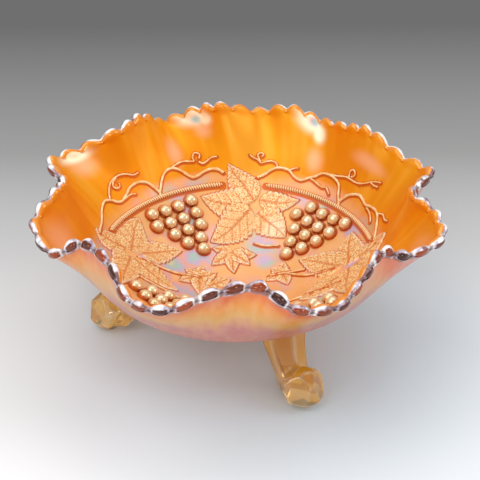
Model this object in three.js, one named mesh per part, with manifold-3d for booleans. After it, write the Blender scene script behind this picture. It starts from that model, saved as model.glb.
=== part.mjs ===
// Carnival glass bowl: a pressed dish with a crimped and scalloped rim, a roped ring, bunches of
// grapes and vine leaves in relief inside, and three legs that end in faceted balls.
// Millimetres, +Z up. The balls stand on Z = 0, and the bowl's box is centred on the Z axis.

import * as THREE from 'three';
import { mergeVertices } from 'three/addons/utils/BufferGeometryUtils.js';
import Module from 'manifold-3d';

const wasm = await Module();
wasm.setup();

// Dish: its inside is a shallow paraboloid from the floor's centre out to the roped ring.
const floorHeight = 21.3;
const floorThickness = 5;
const ringRadius = 74.5;
const ringHeight = 51;

// Flare: the wall above the ring, which the crimping bends in and out.
const flareLength = 49.5;
const bendReachShare = 0.29;
const bendRiseShare = 0.32;
const flareThickness = 3.4;
const beadThickness = 5.4;
const edgeRound = 1.3;
const edgeReach = 0.3;
const toothDepth = 2.6;
const toothCount = 60;

// Roped ring and grapes, which stand proud of the inside surface.
const ropeRadius = 1.7;
const ropeLift = 1.9;
const grapeRadius = 4.1;
const grapeLift = 0.6;
const grapePitch = 9.1;

// Leaves and stems are low relief, rooted a little way into the glass.
const leafLift = 0.8;
const leafMiddleLift = 1.1;
const stemLift = 1.3;
const stemWidth = 2.2;
const reliefRoot = 1.2;
const leafRoot = 2.6;

// Feet: a six-sided leg with a ridge in front, and a ball ground into flats.
const ballInset = 1.3;
const ballRadius = 11.4;
const ballHeight = 9.8;
const broadFlatDepth = 2.8;
const endFlatDepth = 1.6;
const narrowFlatDepth = 0.6;
const shoulderFlatDepth = 1.1;
const legTopInset = 23.7;
const legTopSize = 24.6;
const legOverrun = 14;
const ankleInset = 6.4;
const ankleSize = 17.6;
const ankleHeight = 4;
const footGap = 0.3;

// Points closer than this are one point.
const weldTolerance = 1e-4;

// The rim's places, four to a ruffle, from where it is drawn in to where it lies out and back.
// Each is [swing share of one place, reach share of the flare, rise share of the flare].
const rimShares = [
  [[-0.45, 0.35, 0.89], [-0.03, 0.69, 0.80], [0.20, 0.56, 0.78], [0.50, 0.50, 0.90]],
  [[0.38, 0.49, 0.84], [0.45, 0.64, 0.73], [0.40, 0.62, 0.84], [0.45, 0.68, 0.72]],
  [[0.57, 0.43, 0.92], [0.33, 0.60, 0.81], [0.20, 0.78, 0.62], [0.04, 0.56, 0.88]],
  [[0.12, 0.38, 0.92], [0.30, 0.61, 0.78], [0.42, 0.74, 0.80], [0.58, 0.39, 0.85]],
  [[0.46, 0.43, 0.91], [0.38, 0.69, 0.78], [0.78, 0.67, 0.74], [0.40, 0.41, 0.93]],
  [[0.57, 0.42, 0.90], [0.54, 0.66, 0.73], [0.46, 0.68, 0.73], [0.45, 0.50, 0.88]],
  [[0.60, 0.42, 0.91], [0.39, 0.66, 0.74], [0.30, 0.71, 0.70], [0.15, 0.56, 0.83]],
  [[0.14, 0.42, 0.90], [-0.25, 0.59, 0.79], [0.09, 0.75, 0.70], [-0.09, 0.62, 0.79]],
];

// The bunches: rows of grapes that run out in a point towards the dish's middle. Each bunch has the
// angle and the share of the ring's radius where its first row's middle lies, how far it is turned
// from pointing inwards, its row pitch and how far each row is moved along, as shares of a pitch.
const bunchRows = [4, 4, 3, 2, 1];
const bunchShares = [
  [126, 0.897, 0, 0.75, [-0.05, 0.07, -0.28, -0.25, -0.45]],
  [42, 0.910, 0, 0.76, [-0.38, 0.21, 0.12, 0.15, 0.25]],
  [213, 0.737, 3, 0.86, [-0.16, 0.16, 0.16, 0.16, 0.16]],
  [312.5, 0.836, 3.5, 0.76, [-0.33, 0.33, 0.33, 0.33, 0.33]],
];

// The leaves: where a leaf's lobes meet, and each lobe's tip and width, in order round the leaf, as
// shares of the ring's radius. Beyond the ring a distance is measured up the flare.
const leafShares = [
  [[0.13, 0.83], [
    [-0.07, 1.19, 0.24], [-0.30, 0.89, 0.24], [-0.21, 0.54, 0.30],
    [0.38, 0.54, 0.24], [0.50, 0.81, 0.16],
  ]],
  [[-0.80, 0.17], [
    [-0.77, 0.55, 0.25], [-1.13, 0.19, 0.20], [-0.82, -0.27, 0.21],
    [-0.44, -0.05, 0.21], [-0.43, 0.40, 0.20],
  ]],
  [[0.81, 0.01], [
    [0.87, 0.34, 0.23], [0.47, 0.30, 0.24], [0.44, -0.20, 0.21],
    [0.78, -0.42, 0.23], [1.18, 0.05, 0.19],
  ]],
  [[-0.13, -0.83], [
    [0.07, -1.19, 0.24], [0.30, -0.89, 0.22], [0.21, -0.54, 0.30],
    [-0.32, -0.56, 0.20], [-0.50, -0.81, 0.14],
  ]],
];
const smallLeafShares = [
  [[-0.04, 0.43], [
    [0.15, 0.43, 0.10], [-0.20, 0.48, 0.10], [-0.20, 0.32, 0.12],
    [-0.03, 0.25, 0.12], [0.10, 0.33, 0.10],
  ]],
  [[-0.30, 0.16], [
    [-0.16, 0.26, 0.12], [-0.27, 0.30, 0.12], [-0.41, 0.22, 0.12],
    [-0.45, 0.08, 0.12], [-0.29, -0.03, 0.13],
  ]],
  [[0.33, 0.19], [
    [0.36, 0.31, 0.11], [0.24, 0.26, 0.11], [0.21, 0.14, 0.11],
    [0.37, 0.05, 0.11], [0.42, 0.16, 0.11],
  ]],
  [[0.04, -0.43], [
    [-0.15, -0.43, 0.10], [0.20, -0.48, 0.10], [0.20, -0.32, 0.12],
    [0.03, -0.25, 0.12], [-0.10, -0.33, 0.10],
  ]],
];

// The vine's stems above the ring: degrees round the dish, and the share of the way up the flare.
// They are listed for one half, and the other half has them again.
const stemShares = [
  [[96, 0.16], [102, 0.22], [109, 0.14], [114, 0.26], [119, 0.32], [124, 0.21], [127, 0.02]],
  [[127, 0.07], [131, 0.24], [137, 0.3], [146, 0.18], [153, 0.3], [162, 0.2], [171, 0.12]],
  [[81, 0.1], [75, 0.22], [69, 0.26], [62, 0.16], [55, 0.26], [50, 0.34], [43, 0.27], [38, 0.02]],
  [[39, 0.07], [36, 0.21], [30, 0.28], [25, 0.23], [19, 0.27], [11, 0.14], [6, 0.04]],
];
const footAngles = { front_foot: -62.8, left_foot: 177.2, right_foot: 57.2 };

const fullTurn = 2 * Math.PI;
const degree = fullTurn / 360;
const up = new THREE.Vector3(0, 0, 1);
const dishSteepness = (ringHeight - floorHeight) / ringRadius ** 2;
const footCircleRadius = ringRadius - ballInset;
const legTopRadius = ringRadius - legTopInset;
const ankleRadius = footCircleRadius - ankleInset;

const glass = (color, roughness) =>
  new THREE.MeshStandardMaterial({ color, roughness, metalness: 0.1, side: THREE.FrontSide });
const bowlGlass = glass(0xe88a1e, 0.25);
const footGlass = glass(0xd9a066, 0.15);

// A polar point: an angle, a distance from the axis and a height.
function polar(angle, radius, height) {
  return new THREE.Vector3(radius * Math.cos(angle), radius * Math.sin(angle), height);
}

// The line through the tips of the teeth, as one closed curve round the rim.
const rimPlaces = rimShares.flat();
const rimLine = new THREE.CatmullRomCurve3(
  rimPlaces.map(([swing, reach, rise], place) =>
    polar(
      ((place + swing) * fullTurn) / rimPlaces.length,
      ringRadius + reach * flareLength,
      ringHeight + rise * flareLength,
    )),
  true, 'catmullrom', 0.5);

// The tooth's height at a turn round the rim: 1 at a tip, 0 at the bottom of a notch.
function toothShare(turn) {
  return (0.5 + 0.5 * Math.cos(turn * toothCount * fullTurn)) ** 0.8;
}

// A point of the inside surface. From 0 to 1, share runs from the centre to the ring, and from
// 1 to 2 it runs up the flare to the line of the tooth tips.
function insidePoint(turn, share) {
  const angle = turn * fullTurn;
  if (share <= 1) {
    const radius = share * ringRadius;
    return polar(angle, radius, floorHeight + dishSteepness * radius ** 2);
  }
  const foot = polar(angle, ringRadius, ringHeight);
  const bend = polar(
    angle, ringRadius + bendReachShare * flareLength, ringHeight + bendRiseShare * flareLength);
  return new THREE.QuadraticBezierCurve3(foot, bend, rimLine.getPoint(turn % 1)).getPoint(share - 1);
}

// The inside surface's normal, which points into the bowl.
function insideNormal(turn, share) {
  if (share === 0) return up.clone();
  const stepShare = 0.002;
  const around = insidePoint((turn + stepShare) % 1, share).sub(insidePoint(turn, share));
  const outward = insidePoint(turn, share).sub(insidePoint(turn, share - stepShare));
  return outward.cross(around).normalize();
}

// The wall's thickness, from the floor out to just below the beaded edge.
function wallThickness(share) {
  return THREE.MathUtils.lerp(floorThickness, flareThickness, share / 2);
}

// How far the wall stands in from the surface that insidePoint gives. In the dish that surface is
// the inside, and at the rim it is the middle of the wall.
function standIn(share) {
  return (Math.max(share - 1, 0) * flareThickness) / 2;
}

// One ring of points at a share of the way out, sunk below the inside surface by a depth.
function ringOfPoints(count, share, depth) {
  return Array.from({ length: count }, (unused, index) => {
    const turn = index / count;
    return insidePoint(turn, share).addScaledVector(insideNormal(turn, share), -depth);
  });
}

// A ring along the beaded edge: across is 0 at the inside, 1 at the outside of the beads.
function edgeRing(count, across) {
  const bulge = Math.sin(across * Math.PI);
  return Array.from({ length: count }, (unused, index) => {
    const turn = index / count;
    const shortfall =
      toothDepth * (1 - toothShare(turn)) + edgeRound * (1 - bulge) - edgeReach * bulge;
    const share = 2 - shortfall / flareLength;
    return insidePoint(turn, share)
      .addScaledVector(insideNormal(turn, share), (0.5 - across) * beadThickness);
  });
}

// Joins rings of points into one closed surface. A ring of one point is a pole, and a ring may
// have as many points as its neighbour, twice as many or half as many.
function skinRings(rings) {
  const positions = rings.flat();
  const indices = [];
  let start = 0;
  for (let ring = 1; ring < rings.length; ring += 1) {
    const inner = rings[ring - 1].length;
    const outer = rings[ring].length;
    const next = start + inner;
    const a = (index) => start + (index % inner);
    const b = (index) => next + (index % outer);
    for (let index = 0; index < Math.max(inner, outer); index += 1) {
      if (inner === 1) {
        indices.push(a(0), b(index), b(index + 1));
      } else if (outer === 1) {
        indices.push(a(index), b(0), a(index + 1));
      } else if (inner === outer) {
        indices.push(a(index), b(index), b(index + 1), a(index), b(index + 1), a(index + 1));
      } else if (outer > inner && index < inner) {
        indices.push(a(index), b(2 * index), b(2 * index + 1));
        indices.push(a(index), b(2 * index + 1), a(index + 1));
        indices.push(a(index + 1), b(2 * index + 1), b(2 * index + 2));
      } else if (outer < inner && index < outer) {
        indices.push(a(2 * index), b(index), a(2 * index + 1));
        indices.push(a(2 * index + 1), b(index), b(index + 1));
        indices.push(a(2 * index + 1), b(index + 1), a(2 * index + 2));
      }
    }
    start = next;
  }
  const geometry = new THREE.BufferGeometry();
  geometry.setAttribute('position', new THREE.Float32BufferAttribute(
    positions.flatMap((point) => point.toArray()), 3));
  geometry.setIndex(indices);
  return geometry;
}

// A closed geometry as a solid that can be joined and cut.
function solid(geometry) {
  const bare = geometry.clone();
  bare.deleteAttribute('normal');
  bare.deleteAttribute('uv');
  const merged = mergeVertices(bare, weldTolerance);
  return new wasm.Manifold(new wasm.Mesh({
    numProp: 3,
    vertProperties: new Float32Array(merged.attributes.position.array),
    triVerts: new Uint32Array(merged.index.array),
  }));
}

// A finished solid as a named mesh.
function namedMesh(name, body, material) {
  const mesh = body.getMesh();
  const geometry = new THREE.BufferGeometry();
  geometry.setAttribute('position', new THREE.Float32BufferAttribute(mesh.vertProperties, 3));
  geometry.setIndex(new THREE.Uint32BufferAttribute(mesh.triVerts, 1));
  geometry.computeVertexNormals();
  const result = new THREE.Mesh(geometry, material);
  result.name = name;
  return result;
}

// The pressed wall. Its points are twice as close together in the flare as in the dish, and twice
// as close again along the teeth. The roped ring is a ridge of the same glass.
const fine = 4 * toothCount;
const middling = 2 * toothCount;
const coarse = toothCount;
const dishRings = [[1, 0], [coarse / 2, 0.2], [coarse, 0.42], [coarse, 0.62], [coarse, 0.82]];
const flareRings = [[middling, 1.25], [middling, 1.5], [middling, 1.74], [middling, 1.88]];
const underRings = [[coarse, 1], [coarse, 1.25], ...flareRings.slice(1)];

function wallSolid() {
  const on = ([count, share]) => ringOfPoints(count, share, -standIn(share));
  const under = ([count, share]) =>
    ringOfPoints(count, share, wallThickness(share) - standIn(share));
  const ropeInner = 1 - ropeRadius / ringRadius;
  const ropeOuter = 1 + ropeRadius / flareLength;
  return solid(skinRings([
    ...dishRings.map(on),
    ringOfPoints(middling, ropeInner, 0),
    ringOfPoints(middling, (1 + ropeInner) / 2, -ropeLift),
    ringOfPoints(middling, (1 + ropeOuter) / 2, -ropeLift),
    ringOfPoints(middling, ropeOuter, 0),
    ...flareRings.map(on),
    edgeRing(fine, 0), edgeRing(fine, 0.5), edgeRing(fine, 1),
    ...underRings.toReversed().map(under),
    ...dishRings.toReversed().map(under),
  ]));
}

// A point on or above the inside, at plan coordinates from the axis. Beyond the ring, the distance
// is measured up the flare.
function onInside(x, y, lift) {
  const radius = Math.hypot(x, y);
  const turn = (Math.atan2(y, x) / fullTurn + 1) % 1;
  const share = radius <= ringRadius
    ? radius / ringRadius
    : 1 + (radius - ringRadius) / flareLength;
  return insidePoint(turn, share).addScaledVector(insideNormal(turn, share), lift + standIn(share));
}

// A bunch of grapes.
function grapeBunch([angle, radiusShare, turned, rowPitchShare, moves]) {
  const root = polar(angle * degree, radiusShare * ringRadius, 0);
  const inwards = (angle + 180 + turned) * degree;
  return bunchRows.flatMap((count, row) =>
    Array.from({ length: count }, (unused, index) => {
      const forward = row * rowPitchShare * grapePitch;
      const along = (index - (count - 1) / 2 - moves[row]) * grapePitch;
      const x = root.x + forward * Math.cos(inwards) - along * Math.sin(inwards);
      const y = root.y + forward * Math.sin(inwards) + along * Math.cos(inwards);
      const centre = onInside(x, y, grapeLift);
      const berry = new THREE.SphereGeometry(grapeRadius, 7, 4);
      berry.rotateX(Math.PI / 2);
      const outward = onInside(x, y, 2 * grapeLift).sub(centre).normalize();
      berry.applyQuaternion(new THREE.Quaternion().setFromUnitVectors(up, outward));
      berry.translate(centre.x, centre.y, centre.z);
      return solid(berry);
    }));
}

// One leaf in relief: a thin raised plate that follows the glass. A full leaf is widest halfway
// along each lobe, and a plain one is drawn straight from tip to notch.
function leaf([[middleX, middleY], lobes], isFull) {
  const widestShare = 0.5;
  const notchShare = 0.2;
  const outline = lobes.flatMap(([tipX, tipY, width], lobe) => {
    const [nextX, nextY] = lobes[(lobe + 1) % lobes.length];
    const along = new THREE.Vector2(tipX - middleX, tipY - middleY);
    const sideways = along.clone().normalize().rotateAround(new THREE.Vector2(), Math.PI / 2);
    const widest = (side) => [
      middleX + widestShare * along.x + (side * width * sideways.x) / 2,
      middleY + widestShare * along.y + (side * width * sideways.y) / 2,
    ];
    const notch = [
      middleX + notchShare * (tipX + nextX - 2 * middleX),
      middleY + notchShare * (tipY + nextY - 2 * middleY),
    ];
    return isFull ? [widest(-1), [tipX, tipY], widest(1), notch] : [[tipX, tipY], notch];
  });
  const place = ([x, y], lift) => onInside(x * ringRadius, y * ringRadius, lift);
  const halfway = ([x, y]) => [(x + middleX) / 2, (y + middleY) / 2];
  const folds = isFull ? [outline.filter((unused, index) => index % 2 === 0).map(halfway)] : [];
  return solid(skinRings([
    [place([middleX, middleY], leafMiddleLift)],
    ...folds.map((fold) => fold.map((point) => place(point, leafMiddleLift))),
    outline.map((point) => place(point, leafLift)),
    outline.map((point) => place(point, -leafRoot)),
    [place([middleX, middleY], -leafRoot)],
  ]));
}

// A stem: a ridge with a sharp back that runs along the flare from place to place.
function stem(places, halfTurn) {
  const at = ([angle, share]) => {
    const turn = (angle / 360 + halfTurn) % 1;
    const point = insidePoint(turn, 1 + share);
    return { point, normal: insideNormal(turn, 1 + share), stand: standIn(1 + share) };
  };
  const stations = places.map(at);
  const sections = stations.map(({ point, normal, stand }, index) => {
    const before = stations[Math.max(index - 1, 0)].point;
    const after = stations[Math.min(index + 1, stations.length - 1)].point;
    const forward = after.clone().sub(before).normalize();
    const side = forward.clone().cross(normal).multiplyScalar(stemWidth / 2);
    const raised = (lift) => point.clone().addScaledVector(normal, stand + lift);
    return [raised(0).add(side), raised(stemLift), raised(0).sub(side), raised(-reliefRoot)];
  });
  const ends = [sections[0], sections.at(-1)].map((section) => [
    section[1].clone().add(section[3]).multiplyScalar(1 / 2)]);
  return solid(skinRings([ends[0], ...sections, ends[1]]));
}

// A leg's outline at one height: six corners, one of them straight out in front.
function legSection(centreRadius, height, size) {
  return Array.from({ length: 6 }, (unused, corner) =>
    polar((corner * fullTurn) / 6, size / 2, height).add(new THREE.Vector3(centreRadius, 0, 0)));
}

// A leg, before the dish trims its top: it sweeps outwards and thins down to the ankle.
function legSolid() {
  const joinHeight = floorHeight - floorThickness + dishSteepness * legTopRadius ** 2;
  const sections = [legSection(legTopRadius, joinHeight + legOverrun, legTopSize)];
  for (const share of [0, 0.25, 0.5, 0.75, 1]) {
    const sweep = share ** 1.4;
    const thin = 1 - (1 - share) ** 1.5;
    sections.push(legSection(
      THREE.MathUtils.lerp(legTopRadius, ankleRadius, sweep),
      THREE.MathUtils.lerp(joinHeight, ankleHeight, share),
      THREE.MathUtils.lerp(legTopSize, ankleSize, thin),
    ));
  }
  const topMiddle = new THREE.Vector3(legTopRadius, 0, joinHeight + legOverrun);
  const ankleMiddle = new THREE.Vector3(ankleRadius, 0, ankleHeight);
  return solid(skinRings([[topMiddle], ...sections, [ankleMiddle]]));
}

// The ball: a sphere with two broad flats that look outwards and up, smaller ones between them and
// sloping ones above and below. A slab is a depth, a tilt and a swing, and leaves two opposite
// flats. The last cut is the flat that the ball stands on.
function ballSolid() {
  const across = 2 * ballRadius;
  const place = new THREE.Vector3(footCircleRadius, 0, ballHeight);
  const sphere = new THREE.SphereGeometry(ballRadius, 20, 12);
  sphere.translate(place.x, place.y, place.z);
  let ball = solid(sphere);
  const slabs = [
    [broadFlatDepth, 20, 46], [broadFlatDepth, 20, -46], [endFlatDepth, 4, 0],
    [shoulderFlatDepth, 48, 134], [shoulderFlatDepth, 48, 226],
    [shoulderFlatDepth, 52, 0], [shoulderFlatDepth, 48, 180], [narrowFlatDepth, 0, 90],
  ];
  for (const [depth, tilt, swing] of slabs) {
    const slab = new THREE.BoxGeometry(across - 2 * depth, 2 * across, 2 * across);
    slab.rotateY(-tilt * degree);
    slab.rotateZ(swing * degree);
    slab.translate(place.x, place.y, place.z);
    ball = ball.intersect(solid(slab));
  }
  const stand = new THREE.BoxGeometry(across, across, across);
  stand.translate(place.x, place.y, across / 2);
  return ball.intersect(solid(stand));
}

// The room that a leg may not enter: the dish with its hollow filled, and the gap below it. It is
// turned to meet the first foot, and the others lie a third of a turn away, where it is alike.
function dishRoomGeometry() {
  const under = [...dishRings, [coarse, 1]].toReversed().map(([count, share]) =>
    ringOfPoints(count, share, wallThickness(share) + footGap));
  const lid = new THREE.Vector3(0, 0, ringHeight + flareLength);
  const room = skinRings([[lid], ...under]);
  room.rotateZ(-footAngles.front_foot * degree);
  return room;
}

// One foot, on the +X side of the dish.
function footSolid() {
  const whole = legSolid().add(ballSolid());
  return whole.subtract(solid(dishRoomGeometry()));
}

let bowl = wallSolid();
const relief = [
  ...bunchShares.flatMap(grapeBunch),
  ...leafShares.map((shares) => leaf(shares, true)),
  ...smallLeafShares.map((shares) => leaf(shares, false)),
  ...[0, 0.5].flatMap((halfTurn) => stemShares.map((places) => stem(places, halfTurn))),
];
for (const piece of relief) bowl = bowl.add(piece);

// Where two lobes of a leaf meet, joining can leave a loose splinter, and only the bowl is kept.
bowl = bowl.decompose().reduce((largest, body) =>
  (body.volume() > largest.volume() ? body : largest));

const group = new THREE.Group();
group.add(namedMesh('bowl', bowl, bowlGlass));
const foot = footSolid();
for (const [name, angle] of Object.entries(footAngles)) {
  const placed = namedMesh(name, foot, footGlass);
  placed.rotation.z = angle * degree;
  group.add(placed);
}

// Stands the bowl's box over the origin.
const box = new THREE.Box3().setFromObject(group);
const middle = box.getCenter(new THREE.Vector3());
group.position.set(-middle.x, -middle.y, 0);

export default group;
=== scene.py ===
import math

import bpy
import numpy as np
from mathutils.kdtree import KDTree
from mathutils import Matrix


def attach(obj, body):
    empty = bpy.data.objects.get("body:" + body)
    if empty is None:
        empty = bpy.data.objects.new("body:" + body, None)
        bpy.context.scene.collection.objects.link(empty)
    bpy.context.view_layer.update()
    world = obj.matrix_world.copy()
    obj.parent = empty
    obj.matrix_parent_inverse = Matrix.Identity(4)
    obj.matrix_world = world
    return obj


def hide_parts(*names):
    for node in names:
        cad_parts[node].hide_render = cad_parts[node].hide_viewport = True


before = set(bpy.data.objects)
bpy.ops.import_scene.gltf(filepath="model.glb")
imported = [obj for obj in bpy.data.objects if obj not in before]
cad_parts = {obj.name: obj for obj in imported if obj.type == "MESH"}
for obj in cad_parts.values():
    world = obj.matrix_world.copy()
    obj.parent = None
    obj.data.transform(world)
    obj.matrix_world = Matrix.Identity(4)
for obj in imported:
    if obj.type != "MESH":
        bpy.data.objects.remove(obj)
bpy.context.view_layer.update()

# The bowl's wall. It is one pressing of amber glass: a shallow round dish, and above its ring a
# flare that was crimped while hot into eight uneven ruffles. The mould left sixty round beads
# along the edge, and the whole skin was sprayed with a marigold lustre.
mm = 0.001
axis_x, axis_y = -0.907 * mm, -1.871 * mm
floor_height = 21.3 * mm
floor_thickness = 5.0 * mm
ring_radius = 74.5 * mm
ring_height = 51.0 * mm
flare_length = 49.5 * mm
bend_reach, bend_rise = 0.29, 0.32
flare_thickness = 3.4 * mm
pinch_thickness, bead_thickness = 2.2 * mm, 5.5 * mm
edge_round, edge_worn = 2.4 * mm, 0.42 * mm
bead_depth = 2.6 * mm
bead_count = 60
bead_sharpness, pinch_sharpness = 1.1, 0.8
swell_start, swell_end = 1.85, 1.94
columns = 15 * bead_count

# Four places to a ruffle, each as (swing in places, share of the flare outwards, share upwards).
# Most of these numbers are the result of a fit to the rim's tips in the photograph.
rim_places = np.array([
    (-0.45, 0.35, 0.89), (-0.03, 0.69, 0.80), (0.20, 0.56, 0.78), (0.50, 0.50, 0.90),
    (0.38, 0.49, 0.84), (0.45, 0.64, 0.73), (0.40, 0.62, 0.84), (0.45, 0.68, 0.72),
    (0.57, 0.43, 0.92), (0.33, 0.60, 0.81), (0.20, 0.78, 0.62), (0.04, 0.56, 0.88),
    (0.12, 0.38, 0.92), (0.30, 0.61, 0.78), (0.42, 0.74, 0.80), (0.58, 0.39, 0.85),
    (0.46, 0.43, 0.91), (0.38, 0.69, 0.78), (0.78, 0.67, 0.74), (0.40, 0.41, 0.93),
    (0.57, 0.42, 0.90), (0.54, 0.66, 0.73), (0.46, 0.68, 0.73), (0.45, 0.50, 0.88),
    (0.60, 0.42, 0.91), (0.39, 0.66, 0.74), (0.30, 0.71, 0.70), (0.15, 0.56, 0.83),
    (0.14, 0.42, 0.90), (-0.25, 0.59, 0.79), (0.09, 0.75, 0.70), (-0.09, 0.62, 0.79),
])


def polar(angle, radius, height):
    angle, radius, height = np.broadcast_arrays(angle, radius, height)
    return np.stack([radius * np.cos(angle), radius * np.sin(angle), height], axis=-1)


# A smooth curve's points from start to end, given the places before and after them.
def curve_between(before, start, end, after, share):
    leaving, arriving = (end - before) / 2, (after - start) / 2
    square = 3 * (end - start) - 2 * leaving - arriving
    cube = 2 * (start - end) + leaving + arriving
    return start + share * (leaving + share * (square + share * cube))


def rim_line(turn):
    count = len(rim_places)
    swing, reach, rise = rim_places.T
    knots = polar(
        (np.arange(count) + swing) * math.tau / count,
        ring_radius + reach * flare_length,
        ring_height + rise * flare_length,
    )
    place = (turn % 1) * count
    index = np.floor(place).astype(int)
    around = (knots[(index + step) % count] for step in (-1, 0, 1, 2))
    return curve_between(*around, (place - index)[..., None])


# Share 0 to 1 runs over the dish from its centre to the ring, and 1 to 2 up the flare.
def wall_surface(turn, share):
    turn, share = np.broadcast_arrays(turn, share)
    angle = turn * math.tau
    radius = np.minimum(share, 1) * ring_radius
    rise = (ring_height - floor_height) * (radius / ring_radius) ** 2
    dish = polar(angle, radius, floor_height + rise)
    bend = polar(angle, ring_radius + bend_reach * flare_length,
                 ring_height + bend_rise * flare_length)
    up = np.maximum(share - 1, 0)[..., None]
    flare = (1 - up) ** 2 * dish + 2 * up * (1 - up) * bend + up ** 2 * rim_line(turn)
    return np.where(share[..., None] <= 1, dish, flare)


def wall_normal(turn, share):
    step = 0.002
    share = np.maximum(share, step)
    around = wall_surface(turn + step, share) - wall_surface(turn - step, share)
    outward = wall_surface(turn, share) - wall_surface(turn, share - step)
    normal = np.cross(outward, around)
    return normal / np.linalg.norm(normal, axis=-1, keepdims=True)


def smooth(low, high, value):
    share = np.clip((value - low) / (high - low), 0, 1)
    return share * share * (3 - 2 * share)


# The edge between two beads is both lower and thinner than at a bead.
def bead_share(turn):
    return np.abs(np.cos(turn * bead_count * math.pi)) ** bead_sharpness


def edge_thickness(turn):
    fullness = bead_share(turn) ** pinch_sharpness
    return pinch_thickness + (bead_thickness - pinch_thickness) * fullness


# How far the inside and the outside stand from the wall's surface, beads included.
def wall_stand(turn, share):
    centred = np.maximum(share - 1, 0) * flare_thickness / 2
    thickness = floor_thickness + (flare_thickness - floor_thickness) * share / 2
    swell = (edge_thickness(turn) - flare_thickness) / 2 * smooth(swell_start, swell_end, share)
    return centred + swell, thickness - centred + swell


# The vine leaves, pressed in one with the wall. Each has a raised edge, and a sunk midrib and side
# veins. Lobe by lobe: where it starts, its tip and its width, in millimetres along the glass from
# the dish's centre. A program worked most of these out from places read off the photograph.
leaf_lobes = [
    (10, 65, -5, 89, 18), (7, 63, -22, 66, 18), (8, 61, -16, 40, 22), (13, 65, 37, 60, 12),
    (12, 58, 28, 40, 18),
    (-3, 34, -15, 36, 8), (-3, 34, -15, 24, 9), (-3, 34, -2, 19, 9), (-3, 34, 11, 32, 9),
    (-3, 34, 7, 25, 8),
    (25, 15, 27, 23, 8), (25, 15, 31, 12, 8), (25, 15, 19, 20, 8), (25, 15, 16, 11, 8),
    (25, 15, 28, 4, 8),
    (-60, 15, -57, 41, 19), (-63, 14, -84, 14, 15), (-62, 10, -68, -2, 12),
    (-60, 10, -61, -20, 16), (-54, 17, -32, 30, 15), (-58, 10, -33, -4, 16),
    (-22, 13, -30, 17, 9), (-22, 13, -20, 22, 9), (-22, 13, -12, 19, 9), (-22, 13, -33, 6, 9),
    (-22, 13, -22, -2, 10), (-13, 9, -4, 14, 9), (-13, 9, -18, 6, 9),
    (61, 1, 65, 25, 17), (67, 2, 88, 4, 14), (65, -2, 67, -23, 13), (61, -3, 58, -31, 17),
    (57, 3, 35, 22, 18), (55, -7, 33, -15, 16),
    (-10, -65, 5, -89, 18), (-7, -63, 22, -66, 18), (-8, -61, 16, -40, 22),
    (-13, -65, -37, -60, 12), (-12, -58, -24, -42, 16),
    (3, -34, 15, -36, 8), (3, -34, 15, -24, 9), (3, -34, 2, -19, 9), (3, -34, -11, -32, 9),
    (3, -34, -7, -25, 8),
]
leaf_height, leaf_dome = 0.6 * mm, 0.45 * mm
leaf_foot, leaf_brim = -0.1 * mm, 0.35 * mm
widening, lobe_skew, lobe_fullness = 1.02, 0.62, 0.85
rib_height, rib_width, rib_bend = -0.35 * mm, 0.55 * mm, 0.07
rib_start, rib_taper = 1.4, 0.9
vein_height, vein_width, vein_pitch = -0.3 * mm, 0.45 * mm, 6.4 * mm
vein_slant, vein_strength = 0.85, 0.8
vein_outer, vein_inner = -1.0 * mm, 0.5 * mm
saw_pitch, saw_depth = 3.6 * mm, 0.15
hem_height, hem_width, hem_inset = 0.3 * mm, 0.45 * mm, 0.45 * mm
shade_width, shade_gap = 1.1 * mm, 0.2 * mm
free_start, free_end = 0.12, 0.4
search_margin, half_margin = 2 * mm, 3 * mm
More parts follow.
